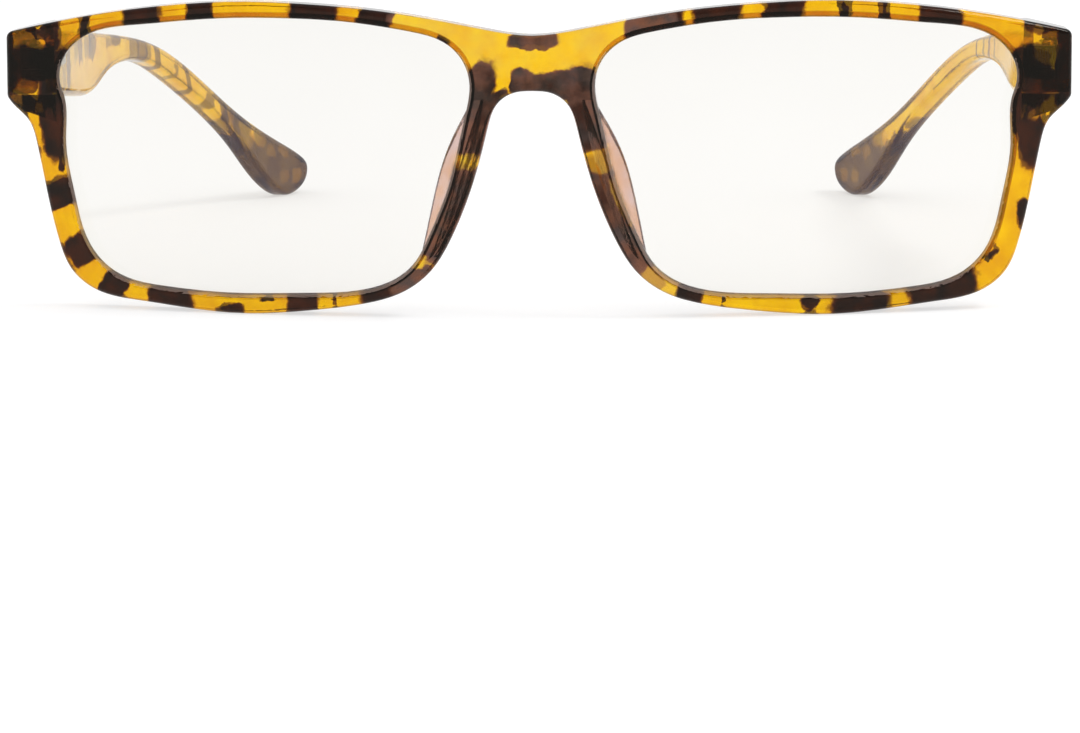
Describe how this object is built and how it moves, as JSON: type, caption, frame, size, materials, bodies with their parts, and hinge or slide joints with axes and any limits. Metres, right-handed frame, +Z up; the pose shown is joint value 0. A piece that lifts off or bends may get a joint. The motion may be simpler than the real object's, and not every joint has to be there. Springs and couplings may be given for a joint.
{
  "type": "computer glasses",
  "caption": "Rectangular full-rim glasses with clear blue-light lenses, integral nose pads and folding temples on sprung hinges.",
  "frame": {"origin": "middle of the footprint of the open glasses, on the surface that the rims and the temple tips stand on", "axes": "+Z up, +Y back along the open temples, -Y the way the wearer looks, +X to the wearer's left"},
  "size_m": [0.14, 0.137, 0.0408],
  "materials": {
    "front_acetate": "polished translucent plastic, yellow with brown tortoiseshell patches",
    "temple_acetate": "polished translucent plastic, yellow with brown tortoiseshell patches",
    "lens": "clear resin lens with a faint coating tint",
    "hinge_metal": "nickel silver",
    "screw_metal": "bright steel",
    "housing_metal": "nickel silver, satin",
    "bush_metal": "turned brass",
    "plunger_metal": "nickel silver, polished",
    "spring_wire": "spring steel wire"
  },
  "bodies": {
    "front": {"front_frame": "front_acetate", "left_lens": "lens", "left_front_leaf": "hinge_metal", "left_hinge_screw": "screw_metal", "right_lens": "lens", "right_front_leaf": "hinge_metal", "right_hinge_screw": "screw_metal"},
    "left_hinge_plunger": {"left_plunger": "plunger_metal", "left_coil_spring": "spring_wire", "left_spring_stop": "bush_metal"},
    "left_temple_arm": {"left_temple": "temple_acetate", "left_spring_housing": "housing_metal", "left_mouth_bush": "bush_metal"},
    "right_hinge_plunger": {"right_plunger": "plunger_metal", "right_coil_spring": "spring_wire", "right_spring_stop": "bush_metal"},
    "right_temple_arm": {"right_temple": "temple_acetate", "right_spring_housing": "housing_metal", "right_mouth_bush": "bush_metal"}
  },
  "joints": [
    {"name": "left_fold", "type": "hinge", "parent": "front", "child": "left_hinge_plunger", "pos_m": [0.066, -0.04885, 0.0318], "axis": [0, 0, 1], "range_deg": [0, 82]},
    {"name": "left_spring_slide", "type": "slide", "parent": "left_hinge_plunger", "child": "left_temple_arm", "axis": [0, 1, 0], "range_m": [0, 0.0008], "stiffness_N_per_m": 2500, "springref_m": -0.001, "deforming": ["left_coil_spring"]},
    {"name": "right_fold", "type": "hinge", "parent": "front", "child": "right_hinge_plunger", "pos_m": [-0.066, -0.04885, 0.0318], "axis": [0, 0, -1], "range_deg": [0, 77]},
    {"name": "right_spring_slide", "type": "slide", "parent": "right_hinge_plunger", "child": "right_temple_arm", "axis": [0, 1, 0], "range_m": [0, 0.0008], "stiffness_N_per_m": 2500, "springref_m": -0.001, "deforming": ["right_coil_spring"]}
  ]
}
